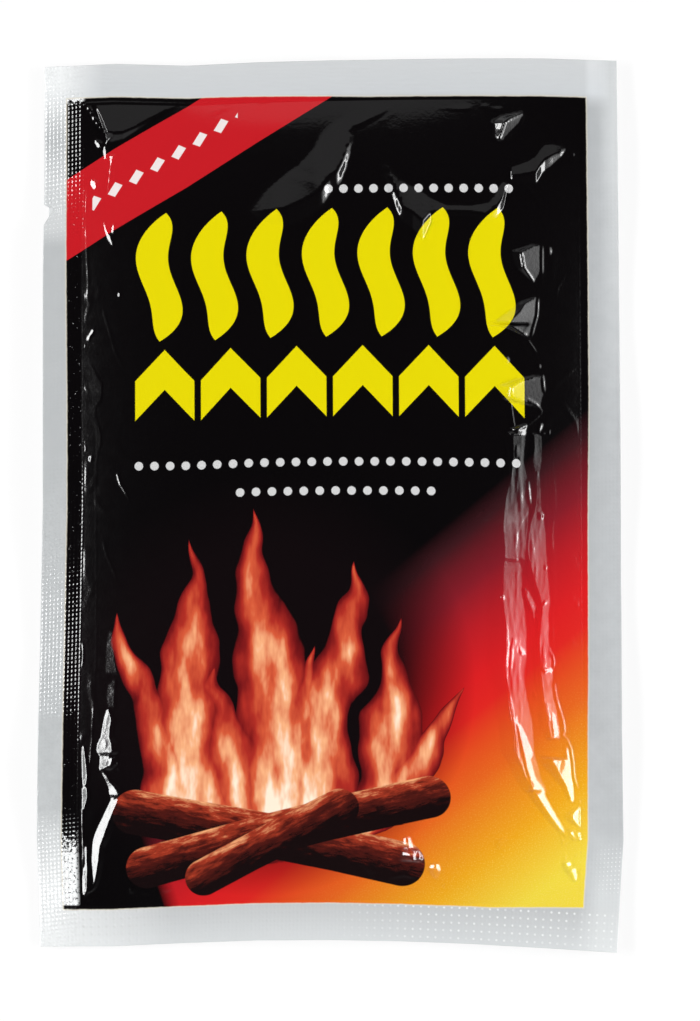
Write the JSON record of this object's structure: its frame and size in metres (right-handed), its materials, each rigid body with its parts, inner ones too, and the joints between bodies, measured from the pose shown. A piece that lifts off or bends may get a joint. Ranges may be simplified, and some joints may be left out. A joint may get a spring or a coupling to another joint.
{
  "type": "hand warmer",
  "caption": "Disposable air-activated hand warmer: a powder-filled fabric pad loose in a flat heat-sealed film wrapper with a tear notch.",
  "frame": {"origin": "on the surface that the wrapper lies on, under the middle of the wrapper's outline", "axes": "+Z out of the printed front, +Y to the top of the print, +X to the right of the print"},
  "size_m": [0.0798, 0.1216, 0.0066],
  "materials": {
    "clear_film": "clear glossy film, crinkled, embossed with a fine mesh along the seals",
    "printed_ink": "reverse-printed ink under gloss: black ground, red band, yellow motifs, a glow from red to yellow",
    "sealing_film": "milky, soft, heat-sealable film",
    "pale_film": "pale grey-white semi-gloss film, embossed along the seals",
    "non_woven": "white spun-bonded fibre sheet with a fine dot bond",
    "pad_membrane": "thin milky film",
    "heating_mix": "dark loose powder with pale grains"
  },
  "bodies": {
    "wrapper": {"wrapper_front_film": "clear_film", "wrapper_print_layer": "printed_ink", "wrapper_front_sealant": "sealing_film", "wrapper_back_sealant": "sealing_film", "wrapper_back_film": "pale_film"},
    "heating_pad": {"pad_front_cover": "non_woven", "pad_front_membrane": "pad_membrane", "heating_powder": "heating_mix", "pad_back_membrane": "pad_membrane", "pad_back_cover": "non_woven"}
  },
  "joints": [
    {"name": "pad_slide", "type": "slide", "parent": "wrapper", "child": "heating_pad", "axis": [0, 1, 0], "range_m": [-0.0025, 0.0025]}
  ]
}
